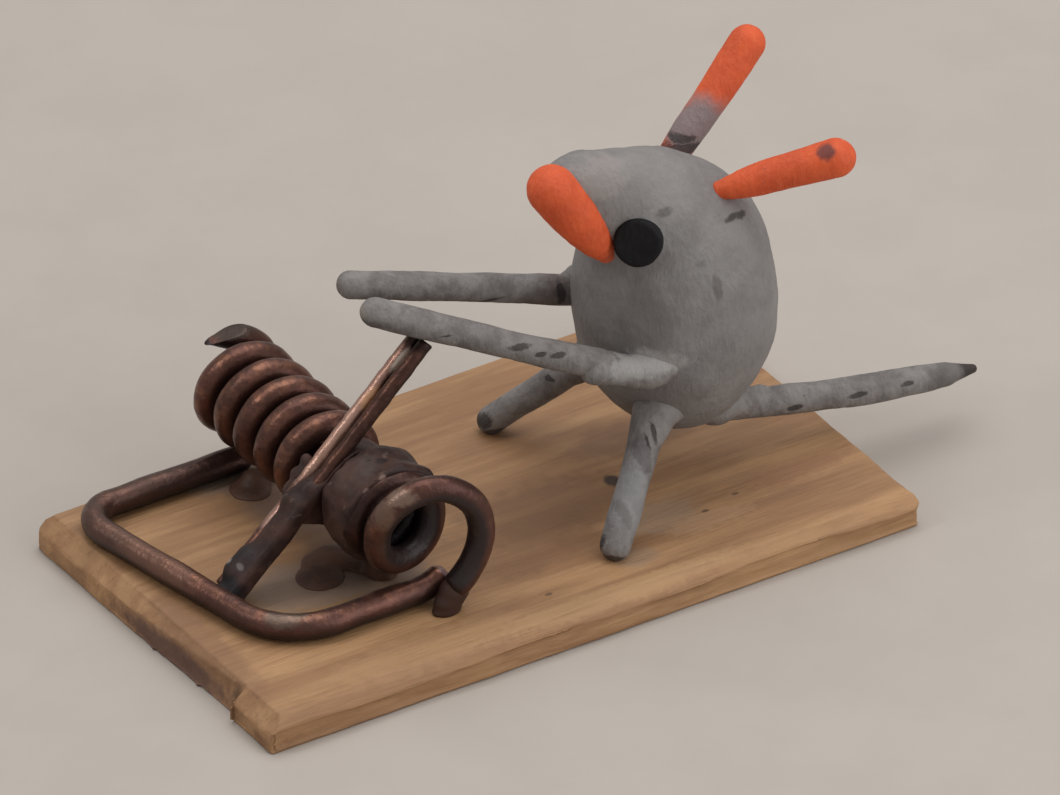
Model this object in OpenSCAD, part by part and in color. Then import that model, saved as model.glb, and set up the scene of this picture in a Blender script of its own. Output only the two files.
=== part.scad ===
// Snap trap miniature: a wooden board with a copper wire snap mechanism, and a clay mouse that reaches
// for its lever. X runs along the board, Y across it and Z up, with the origin under the board's middle.

/* [Board] */
// Length of the board, along X
board_l = 45.4; // [40:0.5:60]
// Width of the board, along Y
board_w = 26.4; // [24:0.2:34]
// Thickness of the board
board_t = 2.2; // [1.6:0.1:3]

/* [Spring] */
// Diameter of the copper wire of the bail and the coils (14 AWG)
wire_d = 1.63; // [1.3:0.01:1.8]
// Diameter of the rod that the coils are wound on
coil_bore = 3.17; // [3:0.01:3.6]
// Place of the coil axis along X
coil_x = -9; // [-9.6:0.1:-8.4]
// Height of the coil axis above the board
coil_rise = 5.1; // [5:0.05:6]
// Advance of the left coil in one turn
left_pitch = 2.2; // [2.14:0.02:2.3]
// Full turns of the left coil
left_turns = 5; // [3:1:5]
// Advance of the right coil in one turn
right_pitch = 2.12; // [2.1:0.02:2.2]

/* [Bail and lever] */
// Place of the bail's front bar along X, at its middle
bail_x = -19.5; // [-19.8:0.1:-18.5]
// Radius of the bail's far bend
far_bend = 2.1; // [1.6:0.1:3]
// Radius of the bail's near bend
near_bend = 4.2; // [3:0.1:5]
// Place of the far leg across the board
bail_far = 10.8; // [10.6:0.1:11]
// Place of the near leg across the board
bail_near = -6.8; // [-7:0.1:-6.6]
// Diameter of each of the lever's two wires
lever_d = 0.85; // [0.7:0.05:0.9]
// Height of the lever's tip above the board
lever_rise = 13.2; // [12:0.1:13.4]

/* [Mouse] */
// Girth of the mouse's body, across its widest place
body_d = 12.2; // [11:0.1:13]
// Height of the mouse's body
body_h = 17.4; // [16.5:0.1:18.5]
// Thickness of the arms and legs
limb_d = 1.8; // [1.6:0.05:2.1]
// Length of the left ear
left_ear_l = 8.8; // [7:0.1:9]
// Length of the right ear
right_ear_l = 7.9; // [7:0.1:9]
// Diameter of an eye
eye_d = 2.9; // [2.4:0.1:3.4]

/* [Hidden] */

$fn = 48;
seam = 0.04;          // clearance between pieces that are bonded to each other

wood = "#c19c6e";
copper = "#6b4a3c";
solder = "#3a3030";
clay = "#85837f";
orange = "#d45a2a";
black = "#1f1e20";

wire_r = wire_d / 2;
coil_r = coil_bore / 2 + wire_r;                 // mean radius of a turn
coil_z = board_t + coil_rise;
coil_outer = coil_r + wire_r;
coil_sides = 10;
rings_per_turn = 24;

// ---------------------------------------------------------------- shared shapes

function unit(v) = v / norm(v);
function mix(a, b, t) = a + (b - a) * t;

// A closed tube of triangles through the ring centres, with one radius and one outward direction a ring.
module tube(centres, radii, outward, sides) {
    n = len(centres);
    along = [for (i = [0 : n - 1]) unit(centres[min(i + 1, n - 1)] - centres[max(i - 1, 0)])];
    first = [for (i = [0 : n - 1]) unit(outward[i] - (outward[i] * along[i]) * along[i])];
    rim = [for (i = [0 : n - 1], k = [0 : sides - 1])
        let (a = 360 * k / sides, second = cross(along[i], first[i]))
        centres[i] + radii[i] * (cos(a) * first[i] + sin(a) * second)];
    walls = [for (i = [0 : n - 2], k = [0 : sides - 1])
        let (a = i * sides + k, b = i * sides + (k + 1) % sides)
        each [[a, a + sides, b], [b, a + sides, b + sides]]];
    start_cap = [for (k = [0 : sides - 1]) [n * sides, k, (k + 1) % sides]];
    end_cap = [for (k = [0 : sides - 1]) [n * sides + 1, (n - 1) * sides + (k + 1) % sides, (n - 1) * sides + k]];
    polyhedron(concat(rim, [centres[0], centres[n - 1]]), concat(walls, start_cap, end_cap));
}

// The children, which stand on the origin along +Z, moved to run from p towards q.
module aim(p, q) {
    d = q - p;
    translate(p)
        rotate([0, acos(d[2] / norm(d)), atan2(d[1], d[0])])
            children();
}

// A round bar from p to q.
module rod(p, q, d) {
    aim(p, q) cylinder(d = d, h = norm(q - p));
}

// A club of revolution along +Z: radius r0 at the foot and r1 at the head, both rounded.
module club(length, r0, r1, grow = 0) {
    foot = [for (a = [-90 : 15 : 0]) [(r0 + grow) * cos(a), r0 + (r0 + grow) * sin(a)]];
    head = [for (a = [0 : 15 : 90]) [(r1 + grow) * cos(a), length - r1 + (r1 + grow) * sin(a)]];
    rotate_extrude()
        polygon([for (p = concat(foot, head)) [max(p[0], 0), p[1]]]);
}

// A blunt ogive along +Z: flat at the foot with radius r0, and a round head of radius r1.
module taper(length, r0, r1, grow = 0) {
    side = [for (t = [0 : 0.2 : 1]) [mix(r0, r1, pow(t, 1.3)) + grow, mix(0, length - r1, t)]];
    head = [for (a = [15 : 15 : 90]) [max((r1 + grow) * cos(a), 0), length - r1 + (r1 + grow) * sin(a)]];
    rotate_extrude()
        polygon(concat([[0, 0]], side, head));
}

// A lump of revolution about Z, centred on the origin.
module lump(radius, half_height) {
    rotate_extrude()
        polygon([for (a = [-90 : 15 : 90]) [max(radius * cos(a), 0), half_height * sin(a)]]);
}

// ---------------------------------------------------------------- board

board_corner = 0.6;
board_bevel = 0.45;
notch_y = -8.4;
notch_w = 1.4;

module board_outline(l, w, r) {
    square([l - 2 * r, w], center = true);
    square([l, w - 2 * r], center = true);
    for (x = [-1, 1], y = [-1, 1])
        translate([x * (l / 2 - r), y * (w / 2 - r)])
            circle(r = r);
}

// A knife-cut chamfer along the top edge of the side that faces the angle `turn`, at distance `reach`.
module edge_cut(turn, reach, length, tilt, skew) {
    rotate([0, 0, turn + skew])
        translate([reach, 0, board_t - board_bevel])
            rotate([0, -tilt, 0])
                translate([0, -length / 2, 0])
                    cube([2, length, 3]);
}

module board() {
    color(wood)
        difference() {
            linear_extrude(board_t)
                board_outline(board_l, board_w, board_corner);
            edge_cut(0, board_l / 2, board_w + 4, 40, 0.6);
            edge_cut(180, board_l / 2, board_w + 4, 35, -0.4);
            edge_cut(90, board_w / 2, board_l + 4, 42, 0.3);
            edge_cut(270, board_w / 2, board_l + 4, 50, -0.3);
            translate([-board_l / 2, notch_y, -1])
                rotate([0, 0, 45])
                    cube([notch_w * 0.7, notch_w * 0.7, board_t + 2]);
        }
}

// ---------------------------------------------------------------- bail, lever and axle

bail_z = board_t + wire_r + 0.01;
bail_reach = coil_z - bail_z;          // the near leg's end curls round the coil axis at this radius
bail_curl = 42;
bail_front = [bail_x - 1.7, bail_x + 1.7];   // the front bar's ends, far and near
far_corner = [bail_front[0], bail_far];
near_corner = [bail_front[1], bail_near];
far_leg_end = [coil_x - 0.6, bail_far];
near_leg_end = [coil_x, bail_near];
bend_rings = 12;
curl_rings = 8;

// Points along the left-hand bend of radius r that rounds the corner c between two others.
function bend(before, c, after, r) =
    let (u = unit(before - c), v = unit(after - c), half = acos(u * v) / 2,
         centre = c + unit(u + v) * r / sin(half), from = c + u * r / tan(half) - centre,
         start = atan2(from[1], from[0]), sweep = 180 - 2 * half)
    [for (i = [0 : bend_rings]) let (a = start + sweep * i / bend_rings) centre + r * [cos(a), sin(a)]];

level_run = concat([far_leg_end], bend(far_leg_end, far_corner, near_corner, far_bend),
                   bend(far_corner, near_corner, near_leg_end, near_bend));
bail_centres = concat([for (p = level_run) [p[0], p[1], bail_z]],
                      [for (i = [0 : curl_rings]) on_coil(bail_reach, -90 + bail_curl * i / curl_rings, bail_near)]);

module snap_bar() {
    color(copper)
        tube(bail_centres, [for (p = bail_centres) wire_r], [for (p = bail_centres) [0, 0, 1]], 12);
}

lever_y = -0.75;
bar_at_lever = mix(bail_front[0], bail_front[1], (bail_far - lever_y) / (bail_far - bail_near));
lever_foot = [bar_at_lever + wire_r + 0.35, lever_y, board_t + 0.85];
lever_tip = [-4.1, lever_y, board_t + lever_rise];
lever_foot_gap = 1.2;
lever_tip_gap = 0.9;

module lever_wire(side, grow = 0) {
    rod(lever_foot + [0, side * lever_foot_gap / 2, 0], lever_tip + [0, side * lever_tip_gap / 2, 0],
        lever_d + 2 * grow);
}

module lever_left_wire() {
    color(copper) lever_wire(1);
}

module lever_right_wire() {
    color(copper) lever_wire(-1);
}

// Solder run along the foot of the lever, from the front bar up between the two wires.
module lever_solder() {
    color(solder)
        difference() {
            union() {
                aim(lever_foot + [-0.2, 0, 0.1], lever_tip)
                    translate([0, 0, -0.3])
                        club(8, 1.1, 0.8);
                translate([lever_foot[0] - 0.15, lever_y, board_t + 0.95])
                    rotate([90, 0, 0])
                        lump(0.85, 1.7);
            }
            lever_wire(1, seam);
            lever_wire(-1, seam);
            bar_cut();
            translate([-30, -20, board_t - 5])
                cube([60, 40, 5.1]);
        }
}

// The room that the front bar takes.
module bar_cut() {
    rod([far_corner[0], far_corner[1], bail_z], [near_corner[0], near_corner[1], bail_z], wire_d + 2 * seam);
}

axle_d = 2.5;
axle_far = 12.3;
axle_near = -3.2;

module axle() {
    color(copper)
        rod([coil_x, axle_near, coil_z], [coil_x, axle_far, coil_z], axle_d);
}

// A collar of solder round the axle that carries the lever, in the gap between the coils.
module axle_solder() {
    collar_w = 1.8;
    color(solder)
        difference() {
            union() {
                translate([coil_x, lever_y + collar_w / 2, coil_z])
                    rotate([90, 0, 0])
                        cylinder(r = axle_d / 2 + 0.8, h = collar_w);
                translate([coil_x - 1.9, lever_y, coil_z + 1.9])
                    rotate([90, 0, 0])
                        cylinder(r = 1.35, h = collar_w, center = true);
            }
            translate([coil_x, -10, coil_z])
                rotate([-90, 0, 0])
                    cylinder(d = axle_d + 2 * seam, h = 20);
            lever_wire(1, seam);
            lever_wire(-1, seam);
        }
}

// ---------------------------------------------------------------- coils

left_end = 1.3;        // place of the left coil's near end along Y
right_end = -2.8;      // place of the right coil's far end along Y

// A point on a coil's centre line: radius r, angle a from +X towards +Z, and place y.
function on_coil(r, a, y) = [coil_x + r * cos(a), y, coil_z + r * sin(a)];
function radial(a) = [cos(a), 0, sin(a)];

// Left coil: from its near end out to the far end, where the wire leaves the turns and runs straight.
left_start_angle = -90;
left_leave = 65;       // angle at which the wire leaves the last turn
left_lead = 2.3;       // length of the straight end
lead_rings = 5;
left_sweep = 360 * left_turns + left_leave - left_start_angle;
left_steps = round(left_sweep / 360 * rings_per_turn);
function left_angle(i) = left_start_angle + left_sweep * i / left_steps;
function left_y(i) = left_end + left_pitch * left_sweep / 360 * i / left_steps;
left_heading = [-sin(left_leave), left_pitch / (2 * PI * coil_r), cos(left_leave)];
left_wound = [for (i = [0 : left_steps]) on_coil(coil_r, left_angle(i), left_y(i))];
left_centres = concat(left_wound,
    [for (i = [1 : lead_rings]) left_wound[left_steps] + left_lead * i / lead_rings * left_heading]);
left_outward = [for (i = [0 : left_steps + lead_rings]) radial(left_angle(min(i, left_steps)))];

// Right coil: close turns that draw in a little, then an end loop that opens out and comes down.
right_start_angle = 90;
right_turns = 1.75;
loop_turns = 0.645;
right_steps = round(right_turns * rings_per_turn);
loop_steps = round(loop_turns * rings_per_turn);
tight_r = coil_r - 0.25;
open_r = coil_r + 1.25;
loop_end_r = coil_r + 1.5;
loop_y = -8.55;
function ease(t) = t * t * (3 - 2 * t);
function loop_part(i) = max(0, (i - right_steps) / loop_steps);
function right_angle(i) =
    right_start_angle - 360 * min(i, right_steps) / rings_per_turn - 360 * loop_turns * loop_part(i);
function right_y(i) =
    let (close = right_end - right_pitch * min(i, right_steps) / rings_per_turn)
    mix(close, loop_y, ease(min(1, 1.65 * loop_part(i))));
function right_r(i) =
    i <= right_steps ? mix(coil_r, tight_r, ease(max(0, (i - 0.75 * rings_per_turn) / rings_per_turn)))
    : mix(tight_r, open_r, ease(min(1, 2 * loop_part(i))))
      + (loop_end_r - open_r) * pow(max(0, 2 * loop_part(i) - 1), 2);
right_count = right_steps + loop_steps;
right_centres = [for (i = [0 : right_count]) on_coil(right_r(i), right_angle(i), right_y(i))];
right_outward = [for (i = [0 : right_count]) radial(right_angle(i))];

// Least gap between stretches of one tube that lie more than half a turn apart.
function self_gap(p) = min([for (i = [0 : len(p) - 1], j = [i + rings_per_turn / 2 : 1 : len(p) - 1])
    norm(p[i] - p[j])]) - wire_d;
echo(left_coil_self_gap = self_gap(left_centres), right_coil_self_gap = self_gap(right_centres));

// The straight end is nipped off at a slant, which leaves a long flat face and a thin edge.
nip_tilt = 12;
module left_coil() {
    edge = left_centres[left_steps + lead_rings] - wire_r * radial(left_leave);
    color(copper)
        difference() {
            tube(left_centres, [for (p = left_centres) wire_r], left_outward, coil_sides);
            translate(edge)
                rotate([0, -nip_tilt, 0])
                    translate([-1.5, -1.2, 0])
                        cube([5.5, 2.4, 2]);
        }
}

module right_coil() {
    color(copper)
        tube(right_centres, [for (p = right_centres) wire_r], right_outward, coil_sides);
}

// A dome of glue on the board, hollowed by the coil that sits in it.
module coil_glue(x, y, radius, height) {
    difference() {
        translate([x, y, board_t + seam])
            rotate_extrude()
                polygon([for (a = [0 : 15 : 90]) [radius * cos(a), height * sin(a)], [0, 0]]);
        translate([coil_x, y - radius - 1, coil_z])
            rotate([-90, 0, 0])
                cylinder(r = coil_outer + seam, h = 2 * radius + 2);
    }
}

module left_coil_glue() {
    color(solder) coil_glue(coil_x - 1.2, 8, 1.6, 3.4);
}

// Between the coils the dome stays low enough to clear the coils' undersides.
module middle_glue() {
    height = coil_rise - coil_outer + 0.1;
    color(solder)
        translate([coil_x - 1.9, lever_y, board_t + seam])
            rotate_extrude()
                polygon([for (a = [0 : 15 : 90]) [2.2 * cos(a), height * sin(a)], [0, 0]]);
}

// A blob on the board that reaches up to the cut end of the end loop.
module loop_end_glue() {
    foot = right_centres[right_count];
    color(solder)
        difference() {
            aim([foot[0] - 1.05, foot[1] - 0.28, board_t - 0.9], [foot[0] - 0.3, foot[1] - 0.1, foot[2] - 0.2])
                club(2.6, 0.95, 0.7);
            tube(right_centres, [for (p = right_centres) wire_r + seam], right_outward, coil_sides);
            translate([foot[0] - 10, foot[1] - 10, board_t - 10])
                cube([20, 20, 10 + seam]);
        }
}

// A skin of solder that floods the first turns of the right coil.
skin_t = 0.28;
skin_from = -12;
skin_to = 228;

module coil_skin() {
    length = 2.9;
    color(solder)
        translate([coil_x, right_end + wire_r, coil_z])
            rotate([90, 0, 0])
                rotate([0, 0, skin_from])
                    rotate_extrude(angle = skin_to - skin_from)
                        translate([coil_outer + seam, 0])
                            square([skin_t, length]);
}

// ---------------------------------------------------------------- mouse

body_c = [12.4, -1.9, board_t + 11.6];
body_r = body_d / 2;

// The body's outline, from the bottom up: an egg.
module egg(grow = 0) {
    rotate_extrude()
        polygon([for (a = [-90 : 7.5 : 90])
            [max((body_r + grow) * cos(a), 0), (body_h / 2 + grow) * sin(a)]]);
}

snout_tip = [4.7, body_c[1], board_t + 22.0];
head_c = [10.4, body_c[1], board_t + 18.2];
head_r = 3.5;
muzzle_root = [8.6, body_c[1], board_t + 17.2];

// The snout: a ridge that runs out from a round head, over a slimmer muzzle.
module snout(grow = 0) {
    aim(head_c - head_r * unit(snout_tip - head_c), snout_tip)
        club(head_r + norm(snout_tip - head_c) + 1, head_r, 1.2, grow);
    aim(muzzle_root, snout_tip)
        taper(norm(snout_tip - muzzle_root) + 0.9, 1.9, 1.15, grow);
}

module body_form(grow = 0) {
    translate(body_c) egg(grow);
    snout(grow);
}

module mouse_body() {
    color(clay) body_form();
}

nose_foot = [7.4, body_c[1] - 1.0, board_t + 16.4];
nose_head = [2.5, body_c[1] - 0.7, board_t + 23.3];

module nose() {
    color(orange)
        difference() {
            aim(nose_foot, nose_head)
                club(norm(nose_head - nose_foot), 1.05, 1.7);
            body_form(seam);
        }
}

module ear(base, tip, length) {
    color(orange)
        difference() {
            aim(base, tip)
                translate([0, 0, -1.4])
                    club(length + 1.4, 0.8, 1.15);
            body_form(seam);
        }
}

left_ear_base = [14.2, 0.8, board_t + 19.4];
left_ear_tip = [20.5, 1.8, board_t + 25.2];
right_ear_base = [14.0, -5.0, board_t + 19.3];
right_ear_tip = [20.4, -8.5, board_t + 22.1];

module left_ear() {
    ear(left_ear_base, left_ear_tip, left_ear_l);
}

module right_ear() {
    ear(right_ear_base, right_ear_tip, right_ear_l);
}

// An eye is a disc whose round face lies at c and looks along `out`.
module eye(c, out) {
    color(black)
        difference() {
            aim(c - 2.4 * out, c)
                cylinder(d = eye_d, h = 2.4);
            body_form(seam);
        }
}

eye_c = [7.88, 3.22, board_t + 18.42];     // the left eye, with Y from the body's middle
eye_out = unit([-0.6, 0.65, 0.3]);

module left_eye() {
    eye([eye_c[0], body_c[1] + eye_c[1], eye_c[2]], eye_out);
}

module right_eye() {
    eye([eye_c[0], body_c[1] - eye_c[1], eye_c[2]], [eye_out[0], -eye_out[1], eye_out[2]]);
}

right_shoulder = [7.2, -5.6, board_t + 9.9];
right_hand = lever_tip + [-3.55, 1.1, 3.25];       // the arms reach out over the lever
left_shoulder = [7.65, 1.8, board_t + 11.4];
left_hand = lever_tip + [-4.1, 3.05, 3.85];
right_foot = [3.5, -9.1, board_t];
right_hip = [8.8, -5.0, board_t + 6.3];
left_foot = [4.6, 6.7, board_t];
left_hip = [9.1, 1.8, board_t + 6.3];

module limb(root, end) {
    difference() {
        aim(root, end)
            club(norm(end - root), limb_d / 2, limb_d / 2);
        body_form(seam);
        translate([-30, -20, board_t - 5])
            cube([60, 40, 5 + seam]);
    }
}

module left_arm() {
    color(clay) limb(left_shoulder, left_hand);
}

module right_arm() {
    color(clay) limb(right_shoulder, right_hand);
}

module left_leg() {
    color(clay) limb(left_hip, left_foot);
}

module right_leg() {
    color(clay) limb(right_hip, right_foot);
}

// A smear of putty from p to q, where a limb (the child) is fixed to the body.
module putty(p, q, r0, r1) {
    color(clay)
        difference() {
            aim(p, q) club(norm(q - p), r0, r1);
            body_form(seam);
            children();
        }
}

module left_shoulder_putty() {
    putty(left_shoulder + [-0.9, 1.0, -0.2], left_shoulder + [0.6, 2.9, -0.6], 1.1, 1.1)
        limb_cut(left_shoulder, left_hand);
}

module right_shoulder_putty() {
    putty(right_shoulder + [-1.0, -0.1, 0.3], right_shoulder + [2.6, -3.4, 0], 1.05, 1.0)
        limb_cut(right_shoulder, right_hand);
}

module left_hip_putty() {
    putty(mix(left_hip, left_foot, 0.3), left_hip + [1.2, -0.5, 0.8], 1.1, 1.4)
        limb_cut(left_hip, left_foot);
}

module right_hip_putty() {
    putty(mix(right_hip, right_foot, 0.3), right_hip + [1.2, 0.5, 0.8], 1.1, 1.4)
        limb_cut(right_hip, right_foot);
}

module limb_cut(root, end) {
    aim(root, end)
        club(norm(end - root), limb_d / 2, limb_d / 2, seam);
}

tail_root = [13.2, -2.4, board_t + 3.5];
tail_end = [31.7, -5.0, board_t + 1.3];
tail_rings = 24;
function tail_at(t) = mix(tail_root, tail_end, t) + [0, -0.5 * sin(180 * t), -0.1 * sin(180 * t)];
function tail_r(t) = limb_d / 2 * (t < 0.8 ? 1.05 : mix(1.05, 0.3, pow((t - 0.8) / 0.2, 1.8)));
tail_centres = [for (i = [0 : tail_rings]) tail_at(i / tail_rings)];

module tail_form(grow = 0) {
    tube(tail_centres, [for (i = [0 : tail_rings]) tail_r(i / tail_rings) + grow],
         [for (p = tail_centres) [0, 0, 1]], 12);
}

module tail() {
    color(clay)
        difference() {
            tail_form();
            body_form(seam);
        }
}

module tail_putty() {
    putty(tail_root + [-0.6, -1.4, -0.2], tail_root + [4.4, -0.6, -0.2], 1.3, 1.15)
        rod(tail_at(-0.05), tail_at(0.3), limb_d * 1.05 + 4 * seam);
}

board();
snap_bar();
axle();
lever_left_wire();
lever_right_wire();
lever_solder();
axle_solder();
left_coil();
right_coil();
left_coil_glue();
coil_skin();
middle_glue();
loop_end_glue();
mouse_body();
nose();
left_ear();
right_ear();
left_eye();
right_eye();
left_arm();
right_arm();
left_leg();
right_leg();
tail();
left_shoulder_putty();
right_shoulder_putty();
left_hip_putty();
right_hip_putty();
tail_putty();
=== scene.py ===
# %% [markdown]
# # A snap trap and a clay mouse, dressed in Blender
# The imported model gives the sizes, the places and the one moving body. Here each of its pieces gets the
# surface of the real, handmade one: knife-cut wood, browned copper wire, dark solder, painted clay. Every
# cell first says what the piece is, how it could be made, and why it is made this way.

# %% Load the frame
import math

import bpy
import numpy as np
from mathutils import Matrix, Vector, noise


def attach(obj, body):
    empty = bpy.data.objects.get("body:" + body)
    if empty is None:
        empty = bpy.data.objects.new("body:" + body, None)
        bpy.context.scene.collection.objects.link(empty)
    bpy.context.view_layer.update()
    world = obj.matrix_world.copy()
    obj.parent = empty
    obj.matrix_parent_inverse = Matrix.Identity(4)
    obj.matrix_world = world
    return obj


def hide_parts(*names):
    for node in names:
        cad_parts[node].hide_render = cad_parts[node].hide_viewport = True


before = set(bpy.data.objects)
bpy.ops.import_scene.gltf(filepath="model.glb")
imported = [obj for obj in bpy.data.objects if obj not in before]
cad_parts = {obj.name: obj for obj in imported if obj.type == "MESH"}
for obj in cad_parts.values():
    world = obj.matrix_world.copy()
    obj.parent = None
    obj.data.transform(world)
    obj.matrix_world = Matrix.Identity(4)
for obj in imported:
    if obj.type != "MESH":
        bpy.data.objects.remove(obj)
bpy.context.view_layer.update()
MM = 0.001

# %% [markdown]
# The camera comes first, because it decides how large a surface detail has to be to show. The object is
# small and is seen from 1.5 m away through a long lens, so that parallel edges stay almost parallel. The
# numbers are a point to look at, a direction and the width of the view at that point.

# %% Camera
LOOK_AT = Vector((4.4, 1.3, 7.5)) * MM
LOOK_ALONG = Vector((0.451, 0.705, -0.547)).normalized()
VIEW_WIDTH = 62.2 * MM
DISTANCE = 1.5
NEAREST_SEEN = 0.1

camera = bpy.data.objects.new("camera", bpy.data.cameras.new("camera"))
bpy.context.scene.collection.objects.link(camera)
bpy.context.scene.camera = camera
camera.data.sensor_width = 36
camera.data.lens = camera.data.sensor_width * DISTANCE / VIEW_WIDTH
camera.data.clip_start = NEAREST_SEEN
camera.location = LOOK_AT - LOOK_ALONG * DISTANCE
camera.rotation_mode = "QUATERNION"
camera.rotation_quaternion = LOOK_ALONG.to_track_quat("-Z", "Y")
bpy.context.scene.view_settings.view_transform = "Standard"
print("lens", round(camera.data.lens), "mm")

# %% [markdown]
# Colours are written as a painter's sRGB hex values. Blender mixes light in linear numbers, so one function
# turns each hex value to linear. A second small function adds a shader node with its settings, values and
# links in one line, which keeps each material readable from top to bottom.

# %% Colour and node helpers
def linear(hex_value):
    """An sRGB hex colour such as "#B8946A" as linear red, green, blue and alpha."""
    parts = [int(hex_value[i:i + 2], 16) / 255 for i in (1, 3, 5)]
    return tuple(c / 12.92 if c <= 0.04045 else ((c + 0.055) / 1.055) ** 2.4 for c in parts) + (1.0,)


def node(tree, kind, inputs=None, **settings):
    """Adds a node. inputs maps a socket's name or number to a value or to another node's output."""
    made = tree.nodes.new("ShaderNode" + kind)
    for name, value in settings.items():
        setattr(made, name, value)
    for socket, value in (inputs or {}).items():
        if isinstance(value, bpy.types.NodeSocket):
            tree.links.new(value, made.inputs[socket])
        else:
            made.inputs[socket].default_value = value
    return made


COLOUR_A, COLOUR_B, COLOUR_OUT = 6, 7, 2      # the colour sockets of a Mix node
print("orange", [round(c, 3) for c in linear("#D2592D")])

# %% [markdown]
# Patterns are laid out in millimetres. A material reads its place from the object's own coordinates, so the
# pattern moves with the piece. Each material starts with the same base: a surface shader and a position that
# is already in millimetres. Two masks serve every finish: a speckle, which is noise cut to a soft edged
# mask, and a patch, which is a ragged spot at a chosen place, for a stain, a chip, or a painted highlight or
# shade. Paint is laid over a colour where a mask says so.

# %% Material base, speckle and patch
def start_material(name, **sockets):
    """A new material with its shader's own sockets set. Returns material, tree, shader and place in mm."""
    material = bpy.data.materials.new(name)
    material.use_nodes = True
    tree = material.node_tree
    shader = tree.nodes["Principled BSDF"]
    for socket, value in sockets.items():
        shader.inputs[socket.replace("_", " ")].default_value = value
    place = node(tree, "TexCoord").outputs["Object"]
    place = node(tree, "Mapping", {"Vector": place, "Scale": (1 / MM, 1 / MM, 1 / MM)}).outputs[0]
    return material, tree, shader, place


def speckle(tree, place, size, low, high, detail=4, seed=0.0, stretch=(1, 1, 1)):
    """A mask from 0 to 1: noise with grains of that size in mm, cut softly between two levels."""
    scaled = node(tree, "Mapping", {"Vector": place, "Location": (seed * 7.3, seed * 3.1, seed * 5.7),
                                    "Scale": [1 / (size * s) for s in stretch]}).outputs[0]
    grains = node(tree, "TexNoise", {"Vector": scaled, "Scale": 1.0, "Detail": detail, "Roughness": 0.6})
    return node(tree, "MapRange", {"Value": grains.outputs["Fac"], "From Min": low, "From Max": high},
                interpolation_type="SMOOTHSTEP").outputs[0]


def patch(tree, place, centre, radii, ragged=0.3, edge=0.35):
    """A mask that is 1 inside a ragged ellipsoid round centre, with radii in mm."""
    wander = node(tree, "TexNoise", {"Vector": place, "Scale": 1 / max(0.25, 0.6 * min(radii)), "Detail": 3})
    wander = node(tree, "VectorMath", {0: wander.outputs["Color"], 1: (0.5, 0.5, 0.5)}, operation="SUBTRACT")
    wander = node(tree, "VectorMath", {0: wander.outputs[0], 3: 2 * ragged}, operation="SCALE")
    offset = node(tree, "VectorMath", {0: place, 1: centre}, operation="SUBTRACT")
    offset = node(tree, "VectorMath", {0: offset.outputs[0], 1: radii}, operation="DIVIDE")
    offset = node(tree, "VectorMath", {0: offset.outputs[0], 1: wander.outputs[0]}, operation="ADD")
    far = node(tree, "VectorMath", {0: offset.outputs[0]}, operation="LENGTH").outputs["Value"]
    return node(tree, "MapRange", {"Value": far, "From Min": 1 + edge, "From Max": 1 - edge},
                interpolation_type="SMOOTHSTEP").outputs[0]


def over(tree, colour, mask, paint, strength=1.0):
    """Lays paint, a hex colour or a socket, over colour where mask is 1, at that strength."""
    amount = node(tree, "Math", {0: mask, 1: strength}, operation="MULTIPLY").outputs[0]
    paint = linear(paint) if isinstance(paint, str) else paint
    colour = linear(colour) if isinstance(colour, str) else colour
    return node(tree, "Mix", {0: amount, COLOUR_A: colour, COLOUR_B: paint},
                data_type="RGBA").outputs[COLOUR_OUT]


def lay_stains_and_light(tree, place, colour, stains):
    """Lays soft patches over colour, both real stains and painted light and shade: a centre and radii in mm,
    how ragged, a paint and a strength.
    """
    for centre, radii, ragged, paint, strength in stains:
        colour = over(tree, colour, patch(tree, place, centre, radii, ragged), paint, strength)
    return colour


def raise_surface(tree, shader, height, depth_mm, before=None):
    """Adds a bump of that depth in mm from a height mask, on top of an earlier bump."""
    links = {"Height": height, "Distance": depth_mm * MM, "Strength": 1.0}
    if before is not None:
        links["Normal"] = before
    bump = node(tree, "Bump", links).outputs[0]
    tree.links.new(bump, shader.inputs["Normal"])
    return bump


print("finish tools ready")

# %% [markdown]
# Handmade pieces are lumpy, so modifiers on tidy boxes and cylinders don't suit them. They are sculpted
# with distances instead: a function says how far each point of a grid lies from the surface, two shapes
# flow together where their distances are blended, and the surface is drawn where the distance is zero. The
# drawing method is called surface nets: each grid cell that the surface crosses gets one corner of the mesh,
# at the middle of the crossings on its edges.

# %% Sculpting with distances
def club(p, a, b, radius_a, radius_b):
    """Distance to a round-ended bar from a to b whose radius changes along it."""
    a, b = np.array(a, float), np.array(b, float)
    t = np.clip(((p - a) @ (b - a)) / ((b - a) @ (b - a)), 0, 1)
    return np.linalg.norm(p - a - t[..., None] * (b - a), axis=-1) - (radius_a + (radius_b - radius_a) * t)


def egg(p, centre, radii):
    """Distance, nearly, to an ellipsoid."""
    q = (p - np.array(centre, float)) / np.array(radii, float)
    near, slope = np.linalg.norm(q, axis=-1), np.linalg.norm(q / np.array(radii, float), axis=-1)
    return near * (near - 1) / np.maximum(slope, 1e-9)


def disc(p, centre, out, radius, half_thick, edge):
    """Distance to a disc that looks along out, with an edge rounded by that radius."""
    out = np.array(out, float) / np.linalg.norm(out)
    q = p - np.array(centre, float)
    height = q @ out
    flat = np.linalg.norm(q - height[..., None] * out, axis=-1) - (radius - edge)
    height = np.abs(height) - (half_thick - edge)
    outside = np.hypot(np.maximum(flat, 0), np.maximum(height, 0))
    return outside + np.minimum(np.maximum(flat, height), 0) - edge


def merge(a, b, soft):
    """Two distances flow together over a width of soft mm."""
    h = np.clip(0.5 + 0.5 * (b - a) / soft, 0, 1)
    return b + (a - b) * h - soft * h * (1 - h)


def carve(a, b, soft=0.05):
    """What is left of a once b is taken away."""
    return -merge(-a, b, soft)


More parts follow.
